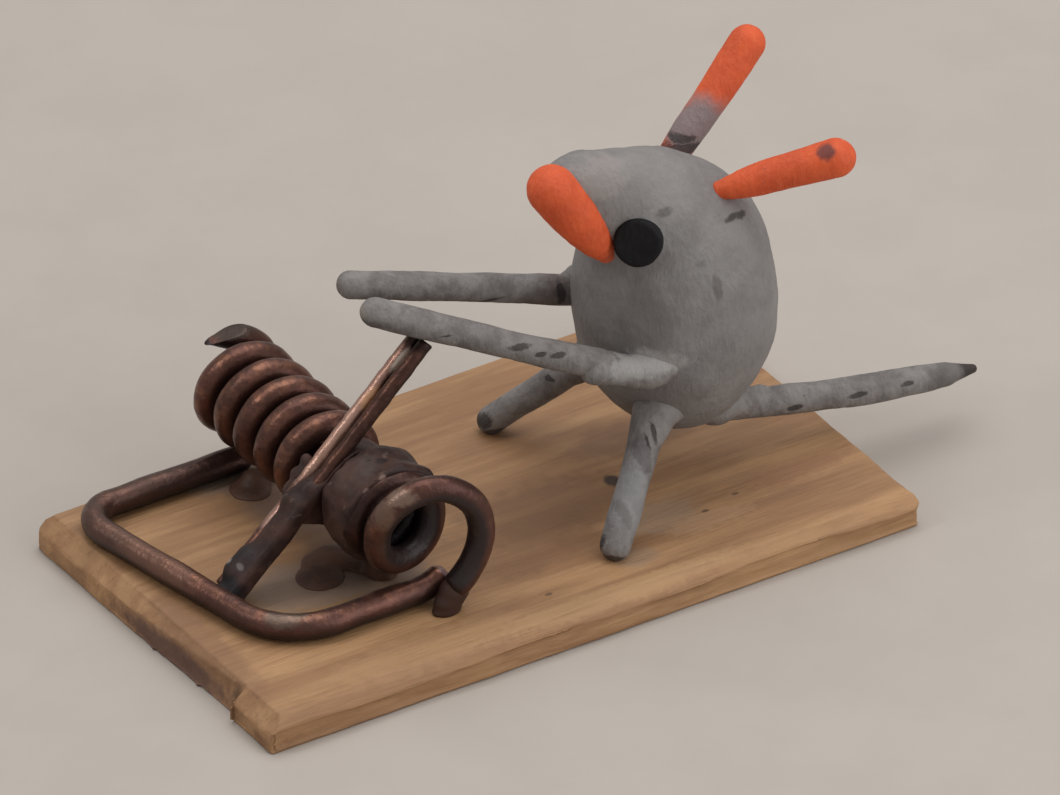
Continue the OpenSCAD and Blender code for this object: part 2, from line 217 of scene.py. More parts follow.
def net(field, low, cell):
    """Surface nets: the corners and quads of the surface where field is zero."""
    inside = field < 0
    window = lambda array, c: array[tuple(slice(k, n - 1 + k) for k, n in zip(c, array.shape))]
    corners = [(i, j, k) for i in (0, 1) for j in (0, 1) for k in (0, 1)]
    count = sum(window(inside, c).astype(int) for c in corners)
    mixed = (count > 0) & (count < 8)
    number = np.full(mixed.shape, -1)
    number[mixed] = np.arange(mixed.sum())
    total, hits = np.zeros((mixed.sum(), 3)), np.zeros(mixed.sum())
    for axis in range(3):
        step = np.eye(3, dtype=int)[axis]
        for c in (np.array(c) for c in corners if c[axis] == 0):
            f0, f1 = window(field, c)[mixed], window(field, c + step)[mixed]
            cross = (f0 < 0) != (f1 < 0)
            t = np.where(cross, f0 / np.where(cross, f0 - f1, 1), 0)
            total += cross[:, None] * (c + t[:, None] * step)
            hits += cross
    points = low + cell * (np.argwhere(mixed) + total / hits[:, None])
    quads = []
    for axis in range(3):
        u, v = np.eye(3, dtype=int)[(axis + 1) % 3], np.eye(3, dtype=int)[(axis + 2) % 3]
        first = inside[tuple(slice(0, -1) if a == axis else slice(1, -1) for a in range(3))]
        second = inside[tuple(slice(1, None) if a == axis else slice(1, -1) for a in range(3))]
        at = np.argwhere(first != second) + u + v
        ring = [number[tuple((at - s).T)] for s in (0 * u, u, u + v, v)]
        ring = np.stack(ring, 1)
        outward = first[tuple((at - u - v).T)]
        quads.append(np.where(outward[:, None], ring, ring[:, ::-1]))
    return points, np.concatenate(quads)


def new_piece(name, points, faces, body, slot_name, *nodes):
    """A smooth piece from points in mm, which rides on body and stands for CAD nodes. slot_name is not used.
    """
    mesh = bpy.data.meshes.new(name)
    mesh.from_pydata((np.asarray(points) * MM).tolist(), [], np.asarray(faces).tolist()
                     if not isinstance(faces, list) else faces)
    mesh.validate()
    mesh.shade_smooth()
    piece = bpy.data.objects.new(name, mesh)
    bpy.context.scene.collection.objects.link(piece)
    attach(piece, body)
    if nodes:
        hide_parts(*nodes)
    return piece


def sculpt(name, shape, low, high, cell, body, slot_name, *nodes):
    """Draws the shape, a distance function in mm, inside a box on a grid of that cell."""
    low, high = np.array(low, float), np.array(high, float)
    axes = [np.arange(a, b + cell, cell) for a, b in zip(low, high)]
    points, quads = net(shape(np.stack(np.meshgrid(*axes, indexing="ij"), -1)), low, cell)
    print(name, len(points), "points")
    return new_piece(name, points, quads, body, slot_name, *nodes)


def roughen(piece, *layers):
    """Moves each corner along its normal by noise. A layer is (depth, size of the lumps, seed), in mm."""
    mesh = piece.data
    for depth, size, seed in layers:
        size = size if isinstance(size, tuple) else (size, size, size)
        normals = [v.normal.copy() for v in mesh.vertices]
        for vertex, normal in zip(mesh.vertices, normals):
            at = Vector([c / MM / s for c, s in zip(vertex.co, size)]) + Vector((seed, -seed, 2 * seed))
            vertex.co += normal * (depth * MM * noise.noise(at))
        mesh.update()
    return piece

# %% [markdown]
# The floor is a plain pale sheet, and it is not part of the object. A broad lamp hangs above and a little
# beyond, like a window through a blind. A second one lights the near side from the right, a small one on
# the left gives the wire its short highlights, and the world fills the shadows. The levels are such that
# a colour renders about as it is written.

# %% Floor and light
FLOOR_HALF = 0.6
floor_mesh = bpy.data.meshes.new("floor")
floor_mesh.from_pydata([(x * FLOOR_HALF, y * FLOOR_HALF, 0) for x, y in ((-1, -1), (1, -1), (1, 1), (-1, 1))],
                       [], [(0, 1, 2, 3)])
floor = bpy.data.objects.new("floor", floor_mesh)
bpy.context.scene.collection.objects.link(floor)
paper, tree, shader, place = start_material("warm grey paper", Roughness=0.9)
fibres = speckle(tree, place, 9, 0.35, 0.65)
colour = over(tree, "#B3ABA3", fibres, "#B0A8A0")
tree.links.new(colour, shader.inputs["Base Color"])
floor_mesh.materials.append(paper)


def lamp(name, size, power, stand):
    """A square soft lamp at the point stand, in metres, that shines at the object."""
    data = bpy.data.lights.new(name, "AREA")
    data.size, data.energy = size, power
    made = bpy.data.objects.new(name, data)
    bpy.context.scene.collection.objects.link(made)
    made.location = stand
    made.rotation_mode = "QUATERNION"
    made.rotation_quaternion = (Vector(LAMP_AIM) - Vector(stand)).to_track_quat("-Z", "Y")


LAMP_AIM = (0, 0, 0.005)
ROOM_LIGHT = 0.50
lamp("window", 0.30, 0.57, (0.05, 0.06, 0.30))
lamp("bounce", 0.22, 0.27, (0.13, -0.19, 0.12))
lamp("pane", 0.045, 0.11, (-0.20, 0.07, 0.22))
world = bpy.data.worlds.new("room")
bpy.context.scene.world = world
world.use_nodes = True
world.node_tree.nodes["Background"].inputs["Color"].default_value = linear("#F4F1EE")
world.node_tree.nodes["Background"].inputs["Strength"].default_value = ROOM_LIGHT
print("floor and lamps set")

# %% [markdown]
# The board is a strip of basswood, cut to length with a knife. Its flat faces keep the plane's marks along
# the grain, its edges are pared and lumpy, and at one end the fibres broke out and left a step. It is
# sculpted as a box with pared edges, and the noise that roughens it is stretched along the grain. The grid
# starts at a height that keeps its layers off the board's flat faces, or the surface would fold there.

# %% Board: shape
BOARD_HALF = np.array([22.7, 13.2, 1.1])
BOARD_TOP = 2 * BOARD_HALF[2]
STEP_Y, BREAK_FAR_Y, BREAK_DEPTH = -8.4, 9, 0.85     # the broken end: from the step to where it runs out
EDGE_ROUND, CORNER_ROUND = 0.25, 0.6


def board_shape(p):
    q = np.abs(p - [0, 0, BOARD_HALF[2]]) - (BOARD_HALF - EDGE_ROUND)
    shape = np.linalg.norm(np.maximum(q, 0), axis=-1) + np.minimum(q.max(-1), 0) - EDGE_ROUND
    x, y, z = p[..., 0], p[..., 1], p[..., 2]
    # Each pared edge is a slanting plane: its slope outwards and up, and the height where it meets the side.
    near_edge = -(y + 13.2) * 0.62 + (z - 1.45) * 0.78 + 0.10 * np.sin(0.35 * x)
    far_edge = (y - 13.2) * 0.7 + (z - 1.8) * 0.71
    tail_edge = (x - 22.7) * 0.66 + (z - 1.75) * 0.75
    front_edge = -(x + 22.7) * 0.66 + (z - 1.2) * 0.75
    corner = np.hypot(np.maximum(np.abs(x) - 22.1, 0), np.maximum(np.abs(y) - 12.6, 0)) - CORNER_ROUND
    deepest = np.clip((BREAK_FAR_Y - y) / (BREAK_FAR_Y - STEP_Y), 0, 1) ** 1.5
    broken = (-22.7 + BREAK_DEPTH * deepest * (0.55 + 0.45 * np.clip(z / 1.2, 0, 1))) - x
    broken = np.where(y > STEP_Y, broken, -1.0)
    for cut in (near_edge, far_edge, tail_edge, front_edge):
        shape = carve(shape, -cut, 0.12)
    shape = np.maximum(shape, corner)
    return np.maximum(shape, broken * 0.9)


board = sculpt("board_wood", board_shape, (-23, -13.5, -0.25), (23, 13.5, 2.5), 0.16, "root", "board_wood",
               "board")


def pare(piece, *layers):
    """Cuts the board's skin inwards by noise. A layer is (depth, (size x, y, z), seed, part of the skin)."""
    mesh = piece.data
    parts = {"flat": lambda n: abs(n.z) ** 2, "long sides": lambda n: n.y ** 2 + 0.3 * (1 - abs(n.z)),
             "ends": lambda n: n.x ** 2 + 0.3 * (1 - abs(n.z))}
    for depth, size, seed, part in layers:
        normals = [v.normal.copy() for v in mesh.vertices]
        for vertex, normal in zip(mesh.vertices, normals):
            at = Vector([c / MM / s for c, s in zip(vertex.co, size)]) + Vector((seed, -seed, 2 * seed))
            cut = depth * min(1, parts[part](normal)) * (0.5 + 0.5 * noise.noise(at))
            vertex.co -= normal * max(0, cut) * MM
            for axis in (0, 1):
                limit = (BOARD_HALF[axis] - 0.02) * MM
                vertex.co[axis] = min(max(vertex.co[axis], -limit), limit)
        mesh.update()


pare(board, (0.05, (14, 0.9, 1), 3, "flat"), (0.025, (5, 0.25, 1), 8, "flat"),
     (0.34, (6, 3, 1.3), 5, "long sides"), (0.14, (2.2, 1, 0.4), 9, "long sides"),
     (0.22, (1, 2.6, 1.2), 6, "ends"), (0.12, (1, 0.6, 0.5), 2, "ends"))
print("board", len(board.data.vertices), "points")

# %% [markdown]
# Basswood is pale tan, with soft brown bands and fine short fibres along the grain. Handling has left it
# blotchy. Bands are about 1.5 mm apart and fibres 0.2 mm, stretched fifteen times along X. Some stains sit
# where glue, solder flux and dirty fingers left them. Others are painted light: the mouse's shadow under and
# in front of it, shade in a grey glue haze under the coils, and one pale patch over the mouse's cast shadow.

# %% Board: basswood
basswood, tree, shader, place = start_material("basswood", Roughness=0.62, IOR=1.48)
bands = speckle(tree, place, 1.9, 0.34, 0.64, seed=1, stretch=(9, 1, 1))
streaks = speckle(tree, place, 0.7, 0.50, 0.66, seed=16, stretch=(12, 1, 1))
fibres = speckle(tree, place, 0.22, 0.35, 0.70, seed=2, stretch=(14, 1, 1))
blotches = speckle(tree, place, 4.2, 0.40, 0.68, seed=3, stretch=(1.8, 1, 1))
pores = speckle(tree, place, 0.16, 0.66, 0.74, detail=2, seed=4, stretch=(5, 1, 1))
colour = over(tree, "#B08860", bands, "#8F6847", 0.80)
colour = over(tree, colour, streaks, "#7B573B", 0.36)
colour = over(tree, colour, blotches, "#8C6849", 0.45)
colour = over(tree, colour, fibres, "#85613F", 0.12)
colour = over(tree, colour, pores, "#6B4D33", 0.15)
STAINS_LIGHT_AND_SHADE = [((18.2, 3.5, 2.2), (3.6, 1.3, 1.5), 0.5, "#84563C", 0.65),
          ((17.9, -6.9, 2.2), (3.4, 0.9, 1.5), 0.5, "#865A3E", 0.50),
          # The next two: painted shadow of the mouse's body, under it and in front of it.
          ((12.0, 1.5, 2.2), (4.6, 1.7, 1.5), 0.5, "#6E4C38", 0.50),
          ((3.2, -2.6, 2.2), (5.4, 3.0, 1.5), 0.5, "#6F4F38", 0.60),
          ((-0.6, -6.2, 2.2), (4.2, 1.5, 1.5), 0.5, "#78543A", 0.55),
          ((1.5, -12.0, 2.2), (9.0, 0.7, 1.5), 0.5, "#B8946B", 0.50),
          ((-11.0, -11.0, 2.2), (6.0, 1.5, 1.5), 0.5, "#B18C66", 0.45),
          ((-21.2, -3.8, 2.2), (1.1, 6.0, 1.5), 0.4, "#7F5C42", 0.60),
          ((4.9, -9.6, 2.2), (1.3, 0.9, 1.5), 0.4, "#8C8076", 0.30),
          # The next five: a grey glue haze under the near leg and under and beside the coils, with painted
          # shade in it.
          ((8.2, -6.6, 2.2), (2.6, 1.5, 1.5), 0.5, "#98816C", 0.60),
          ((-13.2, -1.6, 2.2), (3.6, 2.4, 1.5), 0.30, "#86705F", 0.95),
          ((-9.4, -3.4, 2.2), (3.4, 2.2, 1.5), 0.30, "#86705F", 0.92),
          ((-10.6, 10.2, 2.2), (2.6, 1.3, 1.5), 0.30, "#7E6A5C", 0.90),
          ((-8.9, 6.6, 2.2), (2.8, 4.2, 1.5), 0.30, "#7E6657", 0.85),
          ((-12.5, -4.9, 2.2), (2.4, 0.8, 1.5), 0.4, "#92704A", 0.80),
          # Painted shade on the board under the coils, where the lever passes between them.
          ((-8.6, -0.5, 2.2), (3.0, 3.2, 1.5), 0.35, "#5C4A40", 0.65),
          ((-22.6, -2.2, 0.6), (1.2, 6.2, 0.85), 0.35, "#5A3E37", 0.85),
          ((-22.3, -8.0, 1.3), (0.7, 0.6, 0.9), 0.35, "#36251E", 0.60),
          ((-21.2, -11.6, 0.4), (1.8, 1.2, 0.6), 0.4, "#6A442D", 0.55),
          # Painted light: a pale patch where the mouse casts its shadow on the board.
          ((10.6, -8.5, 2.2), (2.8, 0.8, 1.5), 0.5, "#B08C6A", 0.60),
          ((8.1, -1.95, 2.2), (0.50, 0.62, 1.5), 0.3, "#2A1F1B", 0.90)]
colour = lay_stains_and_light(tree, place, colour, STAINS_LIGHT_AND_SHADE)
for centre in ((-1.6, -10.1, 2.2), (13.4, -7.0, 2.2), (10.9, -7.6, 2.2)):
    colour = over(tree, colour, patch(tree, place, centre, (0.24, 0.15, 0.5), 0.2), "#4E3A2A", 0.7)
tree.links.new(colour, shader.inputs["Base Color"])
raise_surface(tree, shader, fibres, -0.02)
board.data.materials.append(basswood)
print("basswood with", len(STAINS_LIGHT_AND_SHADE), "stains")

# %% [markdown]
# The bail, the coils and the lever are bare copper wire that has browned in air. Wire is best made as a
# sweep: rings of points along a centre line. Fine rings keep it round, and a little noise gives it the flats
# and dents that pliers leave. Each corner also stores how far it looks outwards, as the value "crest",
# because hands and tools rub the outer side bright, and the inner side is painted dark for dirt and shade.

# %% Wire tools
WIRE_R = 0.815
RING_SIDES = 28


def unit(v):
    v = np.asarray(v, float)
    return v / np.linalg.norm(v, axis=-1, keepdims=True)


def sweep(name, centres, outward, radius, body, slot_name, *nodes, bevel=0.14):
    """A round wire along centres, in mm, with pared ends. outward says which side is the outer one."""
    def pared(ring, shift, cut):
        """One of the two smaller rings that round off an end, moved along the wire."""
        return ring[0] + ring[1] * shift, *ring[1:4], radius - cut

    centres, outward = np.array(centres, float), np.array(outward, float)
    along = unit(np.gradient(centres, axis=0))
    first = unit(outward - (outward * along).sum(1, keepdims=True) * along)
    second = np.cross(along, first)
    rings = [(centres[i], along[i], first[i], second[i], radius) for i in range(len(centres))]
    start, stop = rings[0], rings[-1]
    rings = ([pared(start, -bevel, bevel), pared(start, -0.4 * bevel, 0.3 * bevel)] + rings
             + [pared(stop, 0.4 * bevel, 0.3 * bevel), pared(stop, bevel, bevel)])
    turn = 2 * np.pi * np.arange(RING_SIDES) / RING_SIDES
    points, crest = [], []
    for centre, _, f, s, r in rings:
        points.append(centre + r * (np.cos(turn)[:, None] * f + np.sin(turn)[:, None] * s))
        crest.append(np.cos(turn))
    count = len(rings)
    points = np.concatenate(points + [rings[0][0][None], rings[-1][0][None]])
    crest = np.concatenate(crest + [[0.0, 0.0]])
    faces = []
    for i in range(count - 1):
        for k in range(RING_SIDES):
            a, b = i * RING_SIDES + k, i * RING_SIDES + (k + 1) % RING_SIDES
            faces.append((a, b, b + RING_SIDES, a + RING_SIDES))
    last = (count - 1) * RING_SIDES
    for k in range(RING_SIDES):
        faces.append((count * RING_SIDES, (k + 1) % RING_SIDES, k))
        faces.append((count * RING_SIDES + 1, last + k, last + (k + 1) % RING_SIDES))
    piece = new_piece(name, points, faces, body, slot_name, *nodes)
    store(piece, "crest", crest)
    print(name, len(points), "points")
    return piece


def store(piece, name, values):
    """Keeps one number for each corner of the mesh, for a material to read."""
    kept = piece.data.attributes.new(name, "FLOAT", "POINT")
    kept.data.foreach_set("value", np.asarray(values, np.float32))


def ease(t):
    """A smooth step from 0 to 1."""
    return t * t * (3 - 2 * t)


print("wire radius", WIRE_R, "mm")

# %% [markdown]
# The left coil has five turns wound on a rod, and at the far end the wire runs straight on. Nippers left a
# long slanted face there, which is made by pressing the last rings onto a plane. The right coil starts with
# close turns and then opens into one wide loop that comes down towards the board.

# %% Coils
COIL_X, COIL_Z = -9.0, 7.3
COIL_R = 3.17 / 2 + WIRE_R
RINGS_PER_TURN = 64


def on_coil(radius, angle, y):
    return COIL_X + radius * math.cos(angle), y, COIL_Z + radius * math.sin(angle)


def coil_line(turns, start_angle, hand, radius_at, y_at):
    """Centres and outward directions of a coil. radius_at and y_at take the turns made so far."""
    steps = [turns * i / round(turns * RINGS_PER_TURN) for i in range(round(turns * RINGS_PER_TURN) + 1)]
    angles = [math.radians(start_angle) + hand * 2 * math.pi * t for t in steps]
    centres = [on_coil(radius_at(t), a, y_at(t)) for t, a in zip(steps, angles)]
    return centres, [(math.cos(a), 0, math.sin(a)) for a in angles]


LEFT_PITCH, LEAVE, LEAD, NIP_TILT = 2.2, math.radians(65), 2.3, math.radians(12)
left_turns = 5 + (LEAVE + math.pi / 2) / (2 * math.pi)
centres, outward = coil_line(left_turns, -90, 1, lambda t: COIL_R, lambda t: 1.3 + LEFT_PITCH * t)
heading = np.array([-math.sin(LEAVE), LEFT_PITCH / (2 * math.pi * COIL_R), math.cos(LEAVE)])
for step in range(1, 13):
    centres.append(np.array(centres[round(left_turns * RINGS_PER_TURN)]) + heading * LEAD * step / 12)
    outward.append(outward[-1])
left_coil = sweep("left_coil_wire", centres, outward, WIRE_R, "root", "copper_wire", "left_coil")

# The nipped face: corners of the straight end that are past the plane are pressed onto it. The end is also
# squeezed narrower towards its tip, as the jaws leave it.
tip, wound = np.array(centres[-1]), round(left_turns * RINGS_PER_TURN) + 3
edge = Vector(tip - WIRE_R * np.array(outward[-1])) * MM
plane_normal = Vector((-math.sin(NIP_TILT), 0, math.cos(NIP_TILT)))
for vertex in left_coil.data.vertices[(wound - 8) * RING_SIDES:]:
    past = (vertex.co - edge).dot(plane_normal)
    if past > 0:
        vertex.co -= plane_normal * past
    reach = min(1, max(0, 1 + (np.array(vertex.co) / MM - tip) @ unit(heading) / LEAD))
    middle = tip[1] - (1 - reach) * LEAD * heading[1]
    vertex.co.y = (middle + (vertex.co.y / MM - middle) * (1 - 0.6 * ease(reach))) * MM

CLOSE_TURNS, LOOP_TURNS, LOOP_REST, LOOP_Y = 1.75, 0.645, 0.022, -8.55
TIGHT_R, OPEN_R, LOOP_END_R = COIL_R - 0.25, COIL_R + 1.25, COIL_R + 1.5


def right_radius(t):
    if t <= CLOSE_TURNS:
        return COIL_R + (TIGHT_R - COIL_R) * ease(max(0, t - CLOSE_TURNS + 1))
    part = 2 * (t - CLOSE_TURNS) / LOOP_TURNS
    opening = (OPEN_R - TIGHT_R) * ease(min(1, part))
    return TIGHT_R + opening + (LOOP_END_R - OPEN_R) * max(0, part - 1) ** 2


def right_y(t):
    close = -2.8 - 2.12 * min(t, CLOSE_TURNS)
    return close + (LOOP_Y - close) * ease(min(1, 1.65 * max(0, (t - CLOSE_TURNS) / LOOP_TURNS)))


centres, outward = coil_line(CLOSE_TURNS + LOOP_TURNS + LOOP_REST, 90, -1, right_radius, right_y)
right_coil = sweep("right_coil_wire", centres, outward, WIRE_R, "root", "copper_wire", "right_coil",
                   bevel=0.35)
for coil in (left_coil, right_coil):
    roughen(coil, (0.05, 1.6, 4), (0.018, 0.5, 11))

# %% [markdown]
# The bail is one length of the same wire with a tight far bend, a wide near bend and a leg that curls up
# round the coils' axis. It lies flat on the board when the trap has sprung. It swings, so it rides on the
# body named snap, as do the lever and its solder.

# %% Bail
BAIL_Z = BOARD_TOP + WIRE_R + 0.01
BAIL_FAR_Y, BAIL_NEAR_Y = 10.8, -6.8
FAR_BEND_R, NEAR_BEND_R = 2.1, 4.2
CURL_R, CURL_SWEEP, CURL_STEPS = COIL_Z - BAIL_Z, 28, 24


def bend(before, corner, after, radius, count=40):
    """Points along the bend that rounds a corner between two others, in the plane of the board."""
    before, corner, after = (np.array(v, float) for v in (before, corner, after))
    u, v = unit(before - corner), unit(after - corner)
    half = math.acos(float(u @ v)) / 2
    centre = corner + unit(u + v) * radius / math.sin(half)
    start = corner + u * radius / math.tan(half) - centre
    begin, turn = math.atan2(start[1], start[0]), math.pi - 2 * half
    angles = [begin + turn * i / count for i in range(count + 1)]
    return [centre + radius * np.array([math.cos(angle), math.sin(angle)]) for angle in angles]


def straight(a, b, spacing=0.3):
    """Points between a and b, without b, that far apart."""
    a, b = np.array(a, float), np.array(b, float)
    count = max(1, round(np.linalg.norm(b - a) / spacing))
    return [a + (b - a) * i / count for i in range(count)]


far_end, far_corner = (COIL_X - 0.6, BAIL_FAR_Y), (-21.2, BAIL_FAR_Y)
near_corner, near_end = (-17.8, BAIL_NEAR_Y), (COIL_X, BAIL_NEAR_Y)
far_bend = bend(far_end, far_corner, near_corner, FAR_BEND_R)
near_bend = bend(far_corner, near_corner, near_end, NEAR_BEND_R)
level = (straight(far_end, far_bend[0]) + far_bend[:-1] + straight(far_bend[-1], near_bend[0])
         + near_bend[:-1] + straight(near_bend[-1], near_end))
curl = [on_coil(CURL_R, math.radians(-90 + CURL_SWEEP * i / CURL_STEPS), BAIL_NEAR_Y)
        for i in range(CURL_STEPS + 1)]
line = [(x, y, BAIL_Z) for x, y in level] + curl
bail = sweep("bail_wire", line, [(0, 0, 1)] * len(line), WIRE_R, "snap", "copper_wire", "snap_bar",
             bevel=0.42)
roughen(bail, (0.06, 2.2, 6), (0.018, 0.6, 13))

# %% [markdown]
# The lever is a pair of thinner wires that run up from the bail's front bar between the two coils. Dark
# solder holds them together at the foot and joins them to the straight core through the coils.

# %% Lever and core
LEVER_FOOT, LEVER_TIP = np.array([-17.8, -0.75, 3.05]), np.array([-4.3, -0.5, 15.6])
LEVER_WIRE_R, HALF_APART_FOOT, HALF_APART_TIP = 0.45, 0.6, 0.5
CORE_R, CORE_NEAR, CORE_FAR = 1.25, (COIL_X, -3.2, COIL_Z), (COIL_X, 12.3, COIL_Z)
LEVER_UP = unit(np.cross(LEVER_TIP - LEVER_FOOT, [0, 1, 0]))
levers = []
for side, name in ((1, "left"), (-1, "right")):
    tip = LEVER_TIP + [0, side * HALF_APART_TIP, 0]
    line = straight(LEVER_FOOT + [0, side * HALF_APART_FOOT, 0], tip, 0.25) + [tip]
    levers.append(sweep(f"lever_{name}_copper", line, [LEVER_UP] * len(line), LEVER_WIRE_R, "snap",
                        "copper_wire", f"lever_{name}_wire", bevel=0.08))
    roughen(levers[-1], (0.05, 0.8, 3 + side), (0.015, 0.3, 5))
core_line = straight(CORE_NEAR, CORE_FAR, 0.4) + [CORE_FAR]
core = sweep("core_wire", core_line, [(0, 0, 1)] * len(core_line), CORE_R, "snap", "copper_wire", "axle")
roughen(core, (0.04, 1.5, 9))

# %% [markdown]
# Copper in room air turns from salmon pink to a brown oxide. The oxide is a thin film on metal, so the shader
# stays mostly metallic with a dark warm colour and a soft sheen, and only the rubbed crests show the pink.
# Dirt and old flux fill the hollows and are not metallic; the inner and under half of each wire is painted
# near black, for that dirt and for the shade there. The blotches are about 1 mm, the rub marks finer.

# %% Browned copper
browned_copper, tree, shader, place = start_material("browned copper")
crest = node(tree, "Attribute", attribute_name="crest").outputs["Fac"]
blotches = speckle(tree, place, 1.3, 0.38, 0.62, seed=5)
rubs = speckle(tree, place, 0.7, 0.40, 0.66, seed=6, stretch=(1, 1.6, 1))
grime = speckle(tree, place, 2.6, 0.46, 0.60, seed=15)
inner_shade_and_dirt = node(tree, "MapRange", {"Value": crest, "From Min": 0.35, "From Max": -0.35},
              interpolation_type="SMOOTHSTEP").outputs[0]
top = node(tree, "MapRange", {"Value": crest, "From Min": 0.40, "From Max": 1.0},
           interpolation_type="SMOOTHSTEP").outputs[0]
colour = over(tree, "#64433A", blotches, "#4E3630", 0.6)
rubbed = node(tree, "Math", {0: top, 1: rubs}, operation="MULTIPLY").outputs[0]
colour = over(tree, colour, rubbed, "#B07A5C", 0.32)
colour = over(tree, colour, grime, "#3E2B29", 0.3)
WIRE_TINTS_AND_LIGHT = [((-9.0, -4.0, 7.3), (5.0, 2.1, 5.0), 0.20, "#2B2021", 0.85),
              ((-15.0, 10.8, 3.2), (5.6, 1.2, 1.4), 0.40, "#4C3B36", 0.70),
              ((-20.4, 8.0, 3.2), (1.6, 3.4, 1.4), 0.40, "#5A4841", 0.60),
              ((-19.9, 4.0, 3.4), (1.4, 3.6, 1.3), 0.40, "#7E5E50", 0.60),
              ((-6.2, -8.2, 11.0), (2.6, 1.4, 1.6), 0.35, "#4A302C", 0.80),
              # The next two: a painted highlight along the front ring of the right coil.
              ((-10.5, -7.9, 10.8), (1.1, 0.9, 0.45), 0.50, "#A58E7E", 0.50),
              ((-11.3, -7.5, 9.7), (0.5, 0.9, 1.1), 0.50, "#8E796B", 0.40),
              # A painted highlight on the bail's near bend.
              ((-17.2, -5.9, 3.8), (1.4, 0.9, 0.5), 0.50, "#7C7A6E", 0.32),
              ((-9.0, 13.4, 10.2), (2.4, 1.4, 0.35), 0.25, "#453B36", 0.90),
              ((-6.0, 12.3, 9.2), (2.0, 1.4, 1.6), 0.3, "#5A3B31", 0.6),
              ((-16.4, -0.75, 4.3), (1.6, 0.9, 1.4), 0.35, "#7C4534", 0.6),
              # The next two: painted shade on the lower left sides of the coils.
              ((-11.7, 6.5, 5.0), (1.7, 8.0, 2.0), 0.30, "#4C3631", 0.55),
              ((-11.2, -7.0, 6.5), (1.3, 1.3, 2.3), 0.30, "#4B362F", 0.65),
              ((-7.4, -8.4, 4.3), (1.3, 0.9, 1.2), 0.3, "#4A302C", 0.70)]
colour = lay_stains_and_light(tree, place, colour, WIRE_TINTS_AND_LIGHT)
# The inner and under side of every wire: painted shade, with dirt and old flux.
colour = over(tree, colour, inner_shade_and_dirt, "#1F1718", 0.9)
# The first six: painted highlights along the left lever wire, and painted shade along the right one.
WIRE_HIGHLIGHTS_AND_SHADE = [((-8.6, 0.0, 11.7), (4.8, 0.42, 4.6), 0.25, "#C39A8A", 0.70),
              ((-10.2, -0.15, 10.3), (2.8, 0.50, 2.8), 0.25, "#B49080", 0.75),
              ((-8.6, -1.25, 11.6), (5.2, 0.50, 5.0), 0.25, "#3A241F", 0.60),
              ((-5.6, -0.45, 14.5), (0.9, 0.22, 0.9), 0.2, "#CDBFB2", 0.85),
              ((-7.7, -0.40, 12.6), (0.8, 0.24, 0.8), 0.2, "#C79A76", 0.85),
              ((-14.3, -0.1, 6.5), (0.9, 0.40, 0.9), 0.3, "#B08C80", 0.75),
              # Painted shade on the lever's tip, under the arm that rests on it.
              ((-4.4, -0.5, 15.6), (0.8, 1.3, 0.55), 0.25, "#211A1B", 0.85),
              # A painted glint on the end of the bail's curl.
              ((-6.8, -7.1, 4.15), (0.42, 0.42, 0.35), 0.2, "#B89A9A", 0.80)]
colour = lay_stains_and_light(tree, place, colour, WIRE_HIGHLIGHTS_AND_SHADE)
tree.links.new(colour, shader.inputs["Base Color"])
metal = node(tree, "MapRange", {"Value": inner_shade_and_dirt, "To Min": 0.75, "To Max": 0.30}).outputs[0]
tree.links.new(metal, shader.inputs["Metallic"])
rough = node(tree, "MapRange", {"Value": rubbed, "To Min": 0.40, "To Max": 0.30}).outputs[0]
tree.links.new(rough, shader.inputs["Roughness"])
raise_surface(tree, shader, speckle(tree, place, 0.5, 0.3, 0.7, seed=7), 0.02)
for piece in (left_coil, right_coil, bail, core, *levers):
    piece.data.materials.append(browned_copper)
print("copper on", 4 + len(levers), "wires")

# %% [markdown]
# Solder that was run with a small iron freezes in lumps. It is dark here, because flux has charred on it.
# The run over the lever's foot is a bar with rounded edges, a collar holds the core, and a thin skin lies
# over the first turns of the right coil. Overlapping blobs flow into each of them.

# %% Solder
lever_way = unit(LEVER_TIP - LEVER_FOOT)


def lever_at(distance, across=0.0, up=0.0):
    """A point beside the lever: that far from its foot, across it along Y and above it, in mm."""
    return LEVER_FOOT + lever_way * distance + np.array([0, across, 0]) + LEVER_UP * up


BAR_END, BAR_TOP, BAR_HALF, BAR_ROUND = -0.3, 8.9, (0.80, 0.60), 0.35
THIN_FROM, THINNING = 2.4, 0.2       # the bar gets thinner over its last stretch
SKIN_R, SKIN_HALF_THICK = 2.90, 0.42
COLLAR_ENDS = -1.72, 0.32            # clear of the skin and of the left coil's first turn


def foot_shape(p):
    """The bar along the lever, with lumps on it and a fillet down to the bail."""
    q = p - lever_at(0, -0.30, -0.05)
    along, across, up = q @ lever_way, np.abs(q[..., 1]), np.abs(q @ LEVER_UP)
    up = up + THINNING * np.clip(along - BAR_TOP + THIN_FROM, 0, 3)
    beside, above = across - BAR_HALF[0] + BAR_ROUND, up - BAR_HALF[1] + BAR_ROUND
    shape = np.hypot(np.maximum(beside, 0), np.maximum(above, 0)) - BAR_ROUND
    for distance, side, radius in ((1.2, 0.3, 0.84), (2.2, 0.2, 0.80), (6.5, 0.0, 0.80), (7.5, -0.3, 0.70)):
        shape = merge(shape, np.linalg.norm(p - lever_at(distance, side, 0.0), axis=-1) - radius, 0.5)
    shape = -merge(-shape, -np.maximum(BAR_END - along, along - BAR_TOP), 0.12)
    shape = merge(shape, club(p, (-18.5, -0.4, 2.9), (-18.2, -1.3, 2.9), 0.45, 0.45), 0.25)
    return np.maximum(shape, (BOARD_TOP + 0.05) - p[..., 2])


lever_solder = sculpt("lever_solder_run", foot_shape, (-21, -3.4, 2), (-10, 2, 10.5), 0.1, "snap", "solder",
                      "lever_solder")


